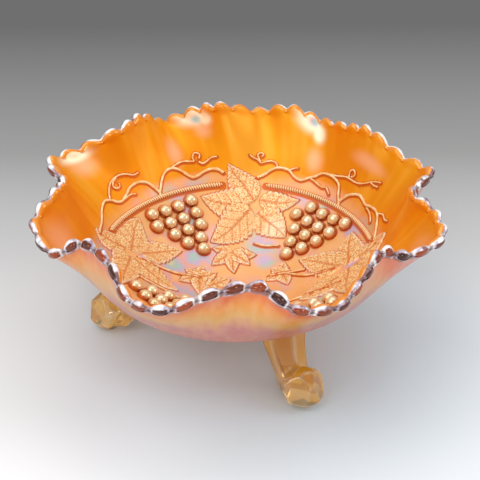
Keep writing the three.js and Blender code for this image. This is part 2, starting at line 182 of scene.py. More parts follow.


# At plan places, the leaves' height over the glass, how fully they cover it, the share of rib or
# vein, which is painted darker as shade, the share of hem, which is painted as a highlight, and
# the share of the painted shade that runs round each lobe. Each lobe lies over the one before it,
# and its hem and painted shade begin a little way out from where it starts.
def leaf_relief(x, y):
    height, cover, line, hem, groove = (np.zeros_like(x) for channel in range(5))
    for start_x, start_y, tip_x, tip_y, width in leaf_lobes:
        along = np.array([tip_x - start_x, tip_y - start_y]) * mm
        length = np.linalg.norm(along)
        forward = along / length
        near_x, near_y = x - start_x * mm, y - start_y * mm
        reach = near_x * forward[0] + near_y * forward[1]
        aside = near_x * forward[1] - near_y * forward[0]
        close = np.nonzero((reach > -search_margin) & (reach < length + search_margin)
                           & (np.abs(aside) < 0.75 * width * mm + half_margin))[0]
        reach, aside = reach[close], aside[close]
        # The midrib bends a little, to the left or the right by turns.
        bend = rib_bend * length * (1 if (tip_x + tip_y) % 2 else -1)
        u = np.clip(reach / length, 0.001, 0.999)
        v = np.abs(aside - bend * np.sin(math.pi * u) * u)
        slanted = u * length - vein_slant * v
        phase = (slanted / vein_pitch) % 1 - 0.5
        saw = 1 - saw_depth * ((slanted / saw_pitch) % 1) ** 2
        fullness = np.sin(math.pi * u ** lobe_skew) ** lobe_fullness
        half = width / 2 * mm * widening * fullness * saw
        beyond = np.maximum(np.abs(reach - length / 2) - length / 2, 0)
        edge = half - v - beyond
        mask = smooth(leaf_foot, leaf_brim, edge)
        rib = np.exp(-((v / rib_width / (rib_start - rib_taper * u)) ** 2))
        vein = np.exp(-((phase * vein_pitch / vein_width) ** 2))
        vein *= smooth(vein_outer, vein_inner, edge)
        fold = np.exp(-(((edge - hem_inset) / hem_width) ** 2)) * mask
        dome = leaf_dome * (1 - np.clip(v / np.maximum(half, 1e-6), 0, 1) ** 2)
        lines = np.maximum(rib, vein_strength * vein) * mask
        lobe = mask * (leaf_height + dome + rib_height * rib + vein_height * vein
                       + hem_height * fold)
        outer_part = smooth(free_start, free_end, u)
        shade_band = smooth(-shade_width, -shade_gap, edge) * (1 - mask) * outer_part
        groove[close] = np.maximum(groove[close] * (1 - mask), shade_band)
        line[close] = lines + (1 - mask) * line[close]
        hem[close] = fold * outer_part + (1 - mask) * hem[close]
        height[close] = lobe * mask + (1 - mask) * height[close]
        cover[close] = np.maximum(cover[close], mask)
    return height, cover, line, hem, groove


# Distances along the glass: the ring's radius, and above it the length of the flare's curve.
flare_arc = 52 * mm


def plan_place(turn, share):
    reach = np.where(share <= 1, share * ring_radius, ring_radius + (share - 1) * flare_arc)
    return reach * np.cos(turn * math.tau), reach * np.sin(turn * math.tau)


# Patches of painted sheen, where pale reflections of the lamps are painted on, and patches where
# the lustre blushes, partly its own pink and partly painted sheen: (degrees, share, width in
# degrees, width in share).
sheen_patches = [(102.5, 1.90, 5.5, 0.13), (98, 1.84, 3, 0.08), (61, 1.88, 5, 0.14),
                 (56.5, 1.78, 3, 0.12), (150, 1.88, 6, 0.07), (65, 0.70, 7, 0.08)]
blush_and_sheen_patches = [
    (114, 1.52, 4, 0.22), (57, 1.45, 4.5, 0.18), (100, 1.72, 4, 0.12), (150, 1.76, 6, 0.16),
    (32, 1.66, 9, 0.10), (110, 1.10, 22, 0.10), (50, 1.12, 20, 0.12), (196, 1.6, 14, 0.3),
    (232, 1.86, 9, 0.12), (256, 1.9, 8, 0.1), (278, 1.92, 6, 0.06), (330, 1.7, 14, 0.2),
]
# Patches where the lustre turns lilac and sea green.
iris_patches = [
    (70, 0.55, 15, 0.13), (108, 0.62, 8, 0.10), (60, 0.42, 14, 0.08), (118, 0.80, 7, 0.10),
    (150, 0.34, 25, 0.09), (40, 0.62, 6, 0.07), (101.5, 1.84, 2, 0.05), (59, 1.88, 2.5, 0.06),
    (20, 0.38, 20, 0.06), (160, 0.88, 6, 0.06), (250, 0.5, 20, 0.1), (300, 0.6, 18, 0.1),
]


# Degrees round the bowl from a direction, between -180 and 180.
def degrees_from(turn, degrees):
    return (turn * 360 - degrees + 180) % 360 - 180


def patches(turn, share, places):
    total = np.zeros_like(share)
    for degrees, middle, width, tall in places:
        aside = degrees_from(turn, degrees) / width
        total = np.maximum(total, np.exp(-(aside ** 2) - ((share - middle) / tall) ** 2))
    return total


# Streaks that run down the wall, as the spray and the hand tools left them. The waves' swings
# only keep them from lining up.
def streaks(turn, share):
    total = np.zeros_like(share)
    for wave, strength in ((5, 0.9), (11, 0.8), (19, 0.7), (34, 0.6), (57, 0.5), (93, 0.4)):
        swing = wave * 1.7 + 0.7 * np.sin(2.1 * share + wave) + 2.4 * np.sin(3 * turn * math.tau)
        total += strength * np.sin(wave * turn * math.tau + swing)
    return np.clip(0.5 + 0.22 * total, 0, 1)


def mesh_piece(name, points, faces, material_index=None):
    mesh = bpy.data.meshes.new(name)
    mesh.from_pydata(points, [], faces)
    mesh.polygons.foreach_set("use_smooth", np.ones(len(mesh.polygons), bool))
    if material_index is not None:
        mesh.polygons.foreach_set("material_index", np.array(material_index, np.int32))
    piece = bpy.data.objects.new(name, mesh)
    bpy.context.scene.collection.objects.link(piece)
    return piece


# Gives each point of a piece a number that its material reads by name.
def paint(piece, name, values):
    channel = piece.data.attributes.new(name, "FLOAT", "POINT")
    padded = np.zeros(len(piece.data.vertices), np.float32)
    padded[:np.size(values)] = np.ravel(values)
    channel.data.foreach_set("value", padded)


# Joins equal rings into quads, from a pole to a pole.
def ring_faces(ring_count, column_count):
    faces = []
    last = ring_count * column_count
    for column in range(column_count):
        beside = (column + 1) % column_count
        faces.append((last, column, beside))
    for ring in range(ring_count - 1):
        low, high = ring * column_count, (ring + 1) * column_count
        for column in range(column_count):
            beside = (column + 1) % column_count
            faces.append((low + column, high + column, high + beside, low + beside))
    low = (ring_count - 1) * column_count
    for column in range(column_count):
        beside = (column + 1) % column_count
        faces.append((low + beside, low + column, last + 1))
    return faces


# The wall's rings: inside from the centre up, round the edge, and outside from the edge down.
turns = np.arange(columns) / columns
dish_shares = np.concatenate([np.linspace(0.012, 0.09, 8), np.linspace(0.10, 1.0, 140)])
leafy_shares = np.linspace(1.01, 1.34, 32)
plain_shares = np.linspace(1.37, 1.90, 22)
inner_shares = np.concatenate([dish_shares, leafy_shares, plain_shares])
inner_turns, share_grid = np.meshgrid(turns, inner_shares)
plan_x, plan_y = plan_place(inner_turns, share_grid)
leaf_channels = leaf_relief(plan_x.ravel(), plan_y.ravel())
inner_stand = wall_stand(inner_turns, share_grid)[0] + leaf_channels[0].reshape(share_grid.shape)
inner_rings = (wall_surface(inner_turns, share_grid)
               + inner_stand[..., None] * wall_normal(inner_turns, share_grid))

edge_turns, edge_sweep = np.meshgrid(turns, np.linspace(0, math.pi, 15))
shortfall = (edge_worn + bead_depth * (1 - bead_share(edge_turns))
             + edge_round * (1 - np.sin(edge_sweep)))
edge_shares = 2 - shortfall / flare_length
edge_stand = np.cos(edge_sweep) * edge_thickness(edge_turns) / 2
edge_rings = (wall_surface(edge_turns, edge_shares)
              + edge_stand[..., None] * wall_normal(edge_turns, edge_shares))

outer_shares = np.concatenate([np.linspace(1.94, 1.88, 5), np.linspace(1.86, 1.02, 30),
                               np.linspace(1.0, 0.02, 34)])
outer_turns, outer_grid = np.meshgrid(turns, outer_shares)
# The mould's three seams stand up a little on the outside.
seam_degrees, seam_width, seam_height = (57.2, 177.2, 297.2), 0.35, 0.1 * mm
seam = sum(np.exp(-((degrees_from(outer_turns, degrees) / seam_width) ** 2))
           for degrees in seam_degrees)
outer_stand = wall_stand(outer_turns, outer_grid)[1] + seam_height * seam
outer_rings = (wall_surface(outer_turns, outer_grid)
               - outer_stand[..., None] * wall_normal(outer_turns, outer_grid))

rings = np.concatenate([inner_rings, edge_rings, outer_rings])
all_turns = np.concatenate([inner_turns, edge_turns, outer_turns])
all_shares = np.concatenate([share_grid, edge_shares, outer_grid])
poles = np.array([[0, 0, floor_height], [0, 0, floor_height - floor_thickness]])
bowl_points = np.concatenate([rings.reshape(-1, 3), poles]) + (axis_x, axis_y, 0)
ring_of_face = np.concatenate([
    np.zeros(columns, int), np.repeat(np.arange(len(rings) - 1), columns),
    np.full(columns, len(rings) - 1)])
# The rim's glass runs on over the first few rings of the outside.
outer_rim_rings = 4
first_edge, first_outer = len(inner_rings), len(inner_rings) + len(edge_rings)
band = np.where(ring_of_face < first_edge, 0,
                np.where(ring_of_face < first_outer + outer_rim_rings, 1, 2))
bowl = mesh_piece("bowl_wall", bowl_points, ring_faces(len(rings), columns), band)
for name, values in zip(("leaf", "vein", "hem", "leaf_groove"), leaf_channels[1:]):
    paint(bowl, name, values)
paint(bowl, "groove", 0)
paint(bowl, "share", all_shares)
paint(bowl, "bead", bead_share(all_turns))
# Each bead's painted dark window has a brown of its own.
paint(bowl, "tint", 0.5 + 0.5 * np.sin(np.round(all_turns * bead_count) * 2.4 + 1))
paint(bowl, "streak", streaks(all_turns, all_shares))
paint(bowl, "pearl", patches(all_turns, all_shares, sheen_patches))
paint(bowl, "blush", patches(all_turns, all_shares, blush_and_sheen_patches))
paint(bowl, "iris", patches(all_turns, all_shares, iris_patches))
paint(bowl, "seam", np.concatenate([np.zeros((first_outer, columns)), seam]))
# The way round the edge: 0 inside, 1 where the outside begins, and on from there down the outside.
sweep_start, sweep_rate = 1.95, 5
outer_sweep = 1 + (sweep_start - outer_grid) * sweep_rate
paint(bowl, "sweep", np.concatenate([np.zeros(inner_turns.shape), edge_sweep / math.pi,
                                     outer_sweep]))


class Wire:
    """A socket in a material's nodes, or just the material's nodes where there is none yet.

    Arithmetic on it adds Math nodes.
    """

    def __init__(self, tree, socket=None):
        self.tree, self.socket = tree, socket

    def node(self, kind, settings=None, inputs=None, output=0):
        made = self.tree.nodes.new(kind)
        for name, value in (settings or {}).items():
            if name == "stops":
                elements = made.color_ramp.elements
                while len(elements) < len(value):
                    elements.new(1)
                for element, (place, shade) in zip(elements, value):
                    element.position, element.color = place, shade
            else:
                setattr(made, name, value)
        pairs = inputs.items() if isinstance(inputs, dict) else enumerate(inputs or [])
        for name, value in pairs:
            if isinstance(value, Wire):
                self.tree.links.new(value.socket, made.inputs[name])
            else:
                made.inputs[name].default_value = value
        return Wire(self.tree, made.outputs[output] if made.outputs else None)

    def math(self, operation, first, second):
        return self.node("ShaderNodeMath", {"operation": operation}, [first, second])

    def __add__(self, other):
        return self.math("ADD", self, other)

    def __sub__(self, other):
        return self.math("SUBTRACT", self, other)

    def __rsub__(self, other):
        return self.math("SUBTRACT", other, self)

    def __mul__(self, other):
        return self.math("MULTIPLY", self, other)

    __radd__, __rmul__ = __add__, __mul__

    def between(self, low, high):
        return self.node("ShaderNodeMapRange", {"interpolation_type": "SMOOTHSTEP"},
                         {"Value": self, "From Min": low, "From Max": high})

    def mix(self, first, second):
        return self.node("ShaderNodeMix", {"data_type": "RGBA"}, {0: self, 6: first, 7: second}, 2)

    def ramp(self, *stops):
        return self.node("ShaderNodeValToRGB", {"stops": stops}, [self])

    def painted(self, name):
        return self.node("ShaderNodeAttribute", {"attribute_name": name}, None, "Fac")

    def place(self):
        return self.node("ShaderNodeTexCoord", None, None, "Object")

    def noise(self, scale, detail=2.0, stretch=(1, 1, 1)):
        vector = self.node("ShaderNodeVectorMath", {"operation": "MULTIPLY"},
                           [self.place(), stretch])
        return self.node("ShaderNodeTexNoise", None,
                         {"Vector": vector, "Scale": scale, "Detail": detail})

    def bump(self, height, depth, strength=1.0):
        return self.node("ShaderNodeBump", None,
                         {"Strength": strength, "Distance": depth, "Height": height})


# A colour as it is seen on a screen, from 0 to 255, in the linear values that a shader takes.
def colour(red, green, blue):
    values = np.array([red, green, blue]) / 255
    linear = np.where(values <= 0.04045, values / 12.92, ((values + 0.055) / 1.055) ** 2.4)
    return (*linear.tolist(), 1.0)


# A material named after the function that builds it, which gets its nodes and returns the
# shader's inputs.
def material_from(build):
    material = bpy.data.materials.new(build.__name__)
    material.use_nodes = True
    material.node_tree.nodes.clear()
    nodes = Wire(material.node_tree)
    shader = nodes.node("ShaderNodeBsdfPrincipled", None, build(nodes))
    nodes.node("ShaderNodeOutputMaterial", None, {"Surface": shader})
    return material


sheen_cream = colour(255, 236, 200)
marigold, deep_marigold = colour(244, 162, 6), colour(234, 140, 0)
peach = colour(248, 190, 130)
lilac, sea_green = colour(205, 182, 206), colour(172, 202, 192)
shade_orange = colour(204, 90, 6)


def inside_lustre(nodes):
    share, streak = nodes.painted("share"), nodes.painted("streak")
    leaf, vein = nodes.painted("leaf"), nodes.painted("vein")
    groove = nodes.painted("groove") + nodes.painted("leaf_groove") * 0.8
    cloud, drift = nodes.noise(26), nodes.noise(45, 3.0)
    grain = nodes.noise(1300, 1.5)
    wall = (streak * 0.25 + cloud).between(0.42, 0.85).mix(deep_marigold, marigold)
    wall = ((streak * cloud).between(0.25, 0.5) * 0.25).mix(wall, colour(246, 176, 80))
    # Painted sheen: pale cream patches where the lamps' reflections are painted on the wall and
    # one leaf.
    pearl = (nodes.painted("pearl") * (cloud * 0.5 + 0.85)).between(0.1, 0.9)
    # The blush is partly the lustre's own pink and partly painted sheen in the wall's folds.
    wall = nodes.painted("blush").between(0.15, 1.1).mix(wall, colour(248, 176, 124))
    wall = pearl.mix(wall, sheen_cream)
    dish = drift.ramp((0.30, colour(244, 182, 112)), (0.42, peach), (0.50, colour(240, 176, 146)),
                      (0.56, lilac), (0.61, sea_green), (0.67, colour(245, 205, 150)))
    dish = cloud.between(0.42, 0.62).mix(dish, colour(240, 180, 116))
    base = share.between(0.9, 1.25).mix(dish, wall)
    shimmer = drift.ramp((0.40, colour(240, 182, 160)), (0.46, lilac), (0.52, sea_green),
                         (0.60, lilac))
    base = nodes.painted("iris").between(0.1, 1.0).mix(base, shimmer)
    skin = grain.between(0.39, 0.55).mix(colour(224, 130, 36), colour(250, 222, 164))
    skin = (drift.between(0.45, 0.7) * 0.5).mix(skin, colour(240, 178, 116))
    base = leaf.mix(base, (pearl * 0.6).mix(skin, sheen_cream))
    # Painted shade and light on the leaves: the sunk ribs and veins darker orange, the raised hem
    # near white.
    base = (vein * 0.85).mix(base, colour(214, 110, 28))
    base = (nodes.painted("hem") * 0.8).mix(base, colour(252, 236, 210))
    # Painted shade: dark orange round the grapes, vines, rope and leaf lobes, where they meet the
    # wall.
    base = (groove.between(0.05, 0.8) * 0.9).mix(base, shade_orange)
    stipple = grain * (leaf * 0.8 + 0.2)
    return {
        "Base Color": base, "Metallic": 0.45 - 0.2 * leaf, "Roughness": 0.45 - 0.1 * leaf,
        "Specular IOR Level": 0.2, "Coat Weight": 0.06 + 0.4 * leaf, "Coat Roughness": 0.2,
        "Normal": nodes.bump(stipple, 0.25 * mm),
    }


def rim_glass(nodes):
    sweep, bead, tint = (nodes.painted(name) for name in ("sweep", "bead", "tint"))
    cloud = nodes.noise(160)
    # Painted light on the beads: a silver highlight over the top of each, a dark brown window of
    # painted shade on its outer side, and painted shade in the neck between two beads.
    silver_highlight = cloud.ramp((0.38, colour(140, 104, 104)), (0.47, colour(200, 190, 206)),
                        (0.58, colour(252, 250, 250)))
    window_shade = tint.mix(colour(62, 16, 0), colour(152, 60, 4))
    window = sweep.between(0.54, 0.64) * bead.between(0.35, 0.6) * (1 - sweep.between(1.1, 1.2))
    neck_shade = (1 - bead.between(0.08, 0.38)) * sweep.between(0.3, 0.5)
    base = (sweep + cloud * 0.3).between(0.40, 0.54).mix(colour(236, 144, 30), silver_highlight)
    base = (neck_shade * 0.75).mix(base, colour(124, 84, 76))
    base = window.mix(base, window_shade)
    base = sweep.between(1.18, 1.34).mix(base, colour(214, 122, 80))
    return {
        "Base Color": base, "Metallic": 0.25, "Roughness": 0.18, "Specular IOR Level": 0.3,
        "Coat Weight": 0.6, "Coat Roughness": 0.05,
    }


def outside_lustre(nodes):
    share, streak = nodes.painted("share"), nodes.painted("streak")
    cloud, fine = nodes.noise(30), nodes.noise(200, 2.0, (1, 1, 0.2))
    level = share + cloud * 0.35 + streak * 0.12 - 0.24
    base = level.node("ShaderNodeMapRange", None, {"Value": level, "From Max": 2.0})
    base = base.ramp((0.0, colour(240, 150, 80)), (0.38, colour(232, 138, 84)),
                     (0.48, colour(200, 114, 106)), (0.66, colour(200, 126, 118)),
                     (0.76, colour(222, 166, 88)), (0.85, colour(234, 148, 56)),
                     (0.95, colour(222, 94, 42)))
    # The lustre runs to mauve round the right side of the bowl.
    side = nodes.node("ShaderNodeSeparateXYZ", None, [nodes.place()], "X")
    base = (side.between(0.03, 0.10) * 0.6).mix(base, colour(206, 130, 134))
    base = nodes.painted("blush").between(0.2, 1.2).mix(base, colour(222, 104, 84))
    base = (fine.between(0.3, 0.75) * 0.25).mix(base, colour(245, 196, 150))
    base = nodes.painted("seam").between(0.2, 1.4).mix(base, colour(150, 90, 50))
    return {
        "Base Color": base, "Metallic": 0.35, "Roughness": 0.34, "Coat Weight": 0.4,
        "Coat Roughness": 0.22, "IOR": 1.5,
    }


for build in (inside_lustre, rim_glass, outside_lustre):
    bowl.data.materials.append(material_from(build))
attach(bowl, "root")
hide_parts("bowl")

# The grapes. Four bunches lie round the dish, each of fourteen round berries in rows that run to
# a point. They are bosses of the same glass, with a bright pearly lustre on top, and painted shade
# turns their sides brown down to where they meet the wall.
bunch_rows = [4, 4, 3, 2, 1]
grape_radius, grape_lift, grape_pitch = 4.05 * mm, 0.6 * mm, 9.1 * mm
grape_shade = (grape_radius + 0.2 * mm, grape_radius + 1.1 * mm)
# Each bunch: degrees, distance of its first row, degrees that it is turned, pitch of its rows, and
# how far each row is moved along, in millimetres. A search for the best match with the few grapes
# that show gave the last two bunches.
bunches = [
    (126, 66.8, 0, 6.8, (-0.5, 0.6, -2.5, -2.3, -4.1)),
    (42, 67.8, 0, 6.9, (-3.5, 1.9, 1.1, 1.4, 2.3)),
    (213, 54.9, 3, 7.8, (-1.5, 1.5, 1.5, 1.5, 1.5)),
    (312.5, 62.3, 3.5, 6.9, (-3.0, 3.0, 3.0, 3.0, 3.0)),
]


def sphere_mesh(around, along):
    turn, height = np.meshgrid(np.arange(around) / around, np.arange(1, along) / along * math.pi)
    points = polar(turn * math.tau, np.sin(height), np.cos(height)).reshape(-1, 3)
    return np.concatenate([points, [[0, 0, 1], [0, 0, -1]]]), ring_faces(along - 1, around)


# Paints shade on the wall's lustre beside a raised piece, darkest next to it, given points on its
# middle line.
def paint_shade_along(points, near, far):
    tree = KDTree(len(points))
    for index, point in enumerate(points):
        tree.insert(point, index)
    tree.balance()
    channel = bowl.data.attributes["groove"].data
    values = np.empty(len(bowl.data.vertices), np.float32)
    channel.foreach_get("value", values)
    for index in range(len(inner_rings) * columns):
        distance = tree.find(bowl_points[index])[2]
        if distance < far:
            values[index] = max(values[index], 1 - float(smooth(near, far, distance)))
    channel.foreach_set("value", values)


ball_points, ball_faces = sphere_mesh(around=32, along=20)
grape_centres, grape_normals = [], []
for degrees, distance, turned, row_pitch, moves in bunches:
    angle = math.radians(degrees)
    inwards = math.radians(degrees + 180 + turned)
    for row, (count, move) in enumerate(zip(bunch_rows, moves)):
        forward = row * row_pitch * mm
        for index in range(count):
            along = (index - (count - 1) / 2) * grape_pitch - move * mm
            x = distance * mm * math.cos(angle) + forward * math.cos(inwards)
            y = distance * mm * math.sin(angle) + forward * math.sin(inwards)
            x, y = x - along * math.sin(inwards), y + along * math.cos(inwards)
            turn = np.array(math.atan2(y, x) / math.tau % 1)
            share = np.array(math.hypot(x, y) / ring_radius)
            normal = wall_normal(turn, share)
            grape_normals.append(normal)
            grape_centres.append(wall_surface(turn, share) + grape_lift * normal)
grape_centres = np.array(grape_centres) + (axis_x, axis_y, 0)
grape_points = (grape_centres[:, None] + grape_radius * ball_points).reshape(-1, 3)
grape_faces = [tuple(start * len(ball_points) + corner for corner in face)
               for start in range(len(grape_centres)) for face in ball_faces]
grapes = mesh_piece("grapes", grape_points, grape_faces)
paint(grapes, "stand", (np.array(grape_normals)[:, None] * ball_points).sum(axis=-1))
paint_shade_along(grape_centres, *grape_shade)


def grape_lustre(nodes):
    cloud = nodes.noise(120)
    stand = nodes.painted("stand")
    base = cloud.between(0.3, 0.7).mix(colour(238, 204, 150), colour(244, 222, 186))
    # Painted shade: the grapes turn brown towards their sides and where they meet the wall.
    base = stand.between(0.12, 0.75).mix(colour(196, 104, 24), base)
    return {
        "Base Color": base, "Metallic": 0.6, "Roughness": 0.2, "Coat Weight": 1.0,
        "Coat Roughness": 0.08, "IOR": 1.5,
    }


grapes.data.materials.append(material_from(grape_lustre))
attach(grapes, "root")

# The vine, raised from the same glass. Its stems wave along above the dish's ring, with side
# shoots that end in curled tendrils, and short stalks run between the leaves in the dish.
stem_radius, tendril_radius, stalk_radius = 1.05 * mm, 0.65 * mm, 0.8 * mm
vine_lift, vine_taper, vine_knots = 0.35 * mm, 0.25, 0.15
vine_shade = (1.0 * mm, 1.8 * mm)
strand_depth, strand_fullness = 0.4, 0.7


# Sweeps a round section along points that lie on the glass, and closes both ends. A twist cuts
# the grooves between two strands into it.
def swept(points, normals, radii, sides=8, twist=None):
    forward = np.gradient(points, axis=0)
    forward /= np.linalg.norm(forward, axis=1, keepdims=True)
    across = np.cross(forward, normals)
    across /= np.linalg.norm(across, axis=1, keepdims=True)
    upward = np.cross(across, forward)
    around = np.arange(sides) / sides * math.tau
    strand = np.ones((len(points), sides))
    if twist is not None:
        strand = np.abs(np.cos(around[None, :] / 2 + twist[:, None])) ** strand_fullness
    ring = radii[:, None] * (1 - strand_depth + strand_depth * strand)
    section = (points[:, None] + (ring * np.cos(around))[..., None] * across[:, None]
               + (ring * np.sin(around))[..., None] * upward[:, None])
    skin = np.concatenate([section.reshape(-1, 3), points[:1], points[-1:]])
    return skin, ring_faces(len(points), sides), np.concatenate([strand.ravel(), [1, 1]])


def smooth_line(places, steps):
    places = np.array(places, float)
    shares = (np.arange(steps) / steps)[:, None]
    first, last = 2 * places[:1] - places[1:2], 2 * places[-1:] - places[-2:-1]
    padded = np.concatenate([first, places, last])
    line = []
    for index in range(1, len(padded) - 2):
        line.append(curve_between(*padded[index - 1:index + 3], shares))
    return np.concatenate([*line, places[-1:]])


# Stems and side shoots as (degrees round the bowl, share of the way out), for the far half. The
# near half has them again.
stems = [
    [(96, 1.16), (98, 1.21), (101, 1.225), (104, 1.205), (107, 1.165), (109.3, 1.145), (111, 1.17),
     (113.5, 1.25), (116, 1.305), (119, 1.32), (122, 1.28), (124, 1.21), (125.6, 1.13),
     (127, 1.06), (127.6, 1.0)],
    [(127.2, 1.07), (129, 1.16), (131, 1.24), (134, 1.29), (137, 1.30), (140, 1.28), (142, 1.24),
     (144, 1.21), (146.5, 1.185), (149, 1.21), (151, 1.27), (153.5, 1.305), (156, 1.29),
     (159, 1.25), (162, 1.20), (165, 1.16), (168, 1.14), (171, 1.12)],
    [(81, 1.10), (79, 1.13), (77, 1.17), (75, 1.22), (72.5, 1.255), (69.5, 1.26), (67, 1.24),
     (64.5, 1.18), (62, 1.155), (60, 1.17), (57.5, 1.22), (55, 1.26), (53, 1.31), (51, 1.335),
     (48, 1.335), (45, 1.31), (43, 1.27), (42, 1.20), (41, 1.13), (39.6, 1.07), (38, 1.0)],
    [(39.5, 1.07), (37.8, 1.15), (36, 1.21), (33, 1.26), (30.5, 1.28), (28, 1.26), (25.5, 1.235),
     (22.5, 1.26), (19.5, 1.27), (16.5, 1.25), (14, 1.20), (11, 1.14), (8.5, 1.09), (6, 1.04)],
]
side_shoots = [
    [(147, 1.185), (144, 1.19), (141, 1.20), (138.5, 1.175)],
    [(67.5, 1.245), (65, 1.285), (63.5, 1.30)],
    [(57, 1.215), (54, 1.185), (51, 1.155), (48.5, 1.165), (47, 1.13), (46, 1.10)],
    [(24, 1.215), (21, 1.195), (18.5, 1.155), (17, 1.12)],
    [(17, 1.255), (14, 1.30), (11, 1.285), (8.5, 1.31)],
    [(151, 1.29), (149, 1.37), (146, 1.45), (142, 1.485), (139, 1.465), (136, 1.41),
     (133.5, 1.41)],
    [(143, 1.47), (145, 1.44), (146, 1.39), (144.8, 1.35), (143.3, 1.36), (143, 1.40)],
    [(118, 1.325), (115, 1.36), (112, 1.38), (109, 1.365), (107.3, 1.36), (107.4, 1.41),
     (106, 1.46), (104.4, 1.43), (105, 1.38)],
    [(105.4, 1.34), (104, 1.31), (102.3, 1.33), (100, 1.37), (97.5, 1.38)],
    [(49, 1.34), (44, 1.37), (40.5, 1.395), (38, 1.39), (35.5, 1.385), (33, 1.40), (30.5, 1.44),
     (28, 1.50), (25.5, 1.545), (24, 1.565)],
    [(28.5, 1.49), (26.5, 1.485), (24.5, 1.50)],
    [(39.2, 1.40), (39.4, 1.47), (38, 1.505), (36.6, 1.475), (37.2, 1.43), (38.3, 1.42)],
    [(72.5, 1.26), (73, 1.31), (75, 1.335), (77.5, 1.32), (79.5, 1.30), (81, 1.34), (83, 1.37),
     (84, 1.40)],
    [(79.7, 1.31), (80.5, 1.36), (80.8, 1.40), (79.5, 1.43), (78.4, 1.41), (79.3, 1.38)],
]
# Stalks in the dish, as millimetres along the glass, which come again half a turn on.
stalks = [
    [(10, 40), (16, 37.5), (24, 36)],
    [(18, 15), (28, 14.5), (38, 13)],
    [(25, 15), (38, 8), (54, 3)],
    [(-22, 13), (-36, 12), (-56, 13)],
]


# From a raised line to where its painted shade lies, on the side that faces the dish's centre.
def beneath(turn, share, distance=0.6 * mm, nearby=0.02):
    step = wall_surface(turn, share - nearby) - wall_surface(turn, share)
    return distance * step / np.linalg.norm(step, axis=-1, keepdims=True)


def on_dish(place):
    return (math.degrees(math.atan2(place[1], place[0])) % 360,
            math.hypot(*place) * mm / ring_radius)


runs = [(stem_radius, stems), (tendril_radius, side_shoots),
        (stalk_radius, [[on_dish(place) for place in line] for line in stalks])]
vine_points, vine_faces, vine_spines = [], [], []
vine_count = 0
for half_turn in (0, 180):
    for radius, lines in runs:
        for line in lines:
            places = smooth_line(line, 10)
            turn, share = (places[:, 0] + half_turn) / 360, places[:, 1]
            stand = wall_stand(turn, share)[0] + vine_lift
            normal = wall_normal(turn, share)
            spine = wall_surface(turn, share) + stand[:, None] * normal
            run = np.linspace(0, 1, len(spine))
            knots = 1 - vine_knots + vine_knots * np.cos(run * len(line) * 2.2) ** 2
            radii = radius * (1 - vine_taper * run) * knots
            points, faces = swept(spine, normal, radii)[:2]
            vine_faces += [tuple(vine_count + corner for corner in face) for face in faces]
            vine_points.append(points)
            vine_spines.append(spine + beneath(turn, share))
            vine_count += len(points)
vines = mesh_piece("vines", np.concatenate(vine_points) + (axis_x, axis_y, 0), vine_faces)
paint_shade_along(np.concatenate(vine_spines) + (axis_x, axis_y, 0), *vine_shade)


def vine_lustre(nodes):
    cloud = nodes.noise(300, 3.0)
    return {
        "Base Color": cloud.between(0.3, 0.7).mix(colour(244, 182, 106), colour(254, 226, 174)),
        "Metallic": 0.15, "Roughness": 0.3, "Coat Weight": 0.6, "Coat Roughness": 0.15, "IOR": 1.5,
        "Normal": nodes.bump(cloud, 0.15 * mm),
    }


vines.data.materials.append(material_from(vine_lustre))
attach(vines, "root")

# The roped ring: a twisted cord of the same glass that runs round the dish's edge in four
# stretches, between the leaves that reach over it, and tapers at each end.
rope_radius, rope_lift = 1.5 * mm, 0.2 * mm
rope_twists, rope_sides = 310, 12
rope_spans = [(8, 77), (97, 163), (190, 254), (270, 352)]
steps_per_degree, taper_steps, tip_share = 6, 8, 0.3
rope_shade, rope_shade_drop = (1.9 * mm, 2.8 * mm), 1.2

rope_points, rope_faces, rope_strands, rope_spines = [], [], [], []
rope_count = 0
for start, stop in rope_spans:
    turn = np.linspace(start, stop, (stop - start) * steps_per_degree) / 360
    share = np.ones_like(turn)
    normal = wall_normal(turn, share)
    spine = wall_surface(turn, share) + rope_lift * normal
    inwards = np.minimum(np.arange(len(turn)), np.arange(len(turn))[::-1]) / taper_steps
    radii = rope_radius * np.clip(tip_share + (1 - tip_share) * inwards, 0, 1)
    points, faces, strand = swept(spine, normal, radii, rope_sides, turn * rope_twists * math.pi)
    rope_faces += [tuple(rope_count + corner for corner in face) for face in faces]
    rope_points.append(points)
    rope_strands.append(strand)
    rope_spines.append((spine + rope_shade_drop * beneath(turn, share))[::3])
    rope_count += len(points)
rope = mesh_piece("rope_ring", np.concatenate(rope_points) + (axis_x, axis_y, 0), rope_faces)
paint(rope, "strand", np.concatenate(rope_strands))
paint_shade_along(np.concatenate(rope_spines) + (axis_x, axis_y, 0), *rope_shade)


def rope_lustre(nodes):
    # Painted light and shade: dark orange in the grooves between the strands and pale on their
    # crests.
    strand = nodes.painted("strand").between(0.35, 0.8)
    return {
        "Base Color": strand.mix(colour(196, 92, 10), colour(254, 220, 164)),
        "Metallic": 0.15, "Roughness": 0.3, "Coat Weight": 0.6, "Coat Roughness": 0.15,
        "IOR": 1.5,
    }


rope.data.materials.append(material_from(rope_lustre))
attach(rope, "root")

# The feet. Each is a six-sided leg that sweeps out under the dish and ends in a ball with ground
# flats. They are clear amber glass with no lustre, and the three are alike.
foot_angles = {"front_foot": -62.8, "left_foot": 177.2, "right_foot": 57.2}
foot_circle_radius = 73.2 * mm
ball_radius, ball_height = 11.4 * mm, 9.8 * mm
leg_top_radius, leg_top_size = 50.8 * mm, 24.6 * mm
ankle_radius, ankle_size, ankle_height = 66.8 * mm, 17.6 * mm, 4.0 * mm
leg_overrun = 1.0 * mm
leg_sides, leg_steps = 72, 26
sweep_power, narrowing_power = 1.4, 1.5
corner_cut, corner_scale = 0.965, 1.01
sixth = math.pi / 3
flat_blend = 0.15 * mm
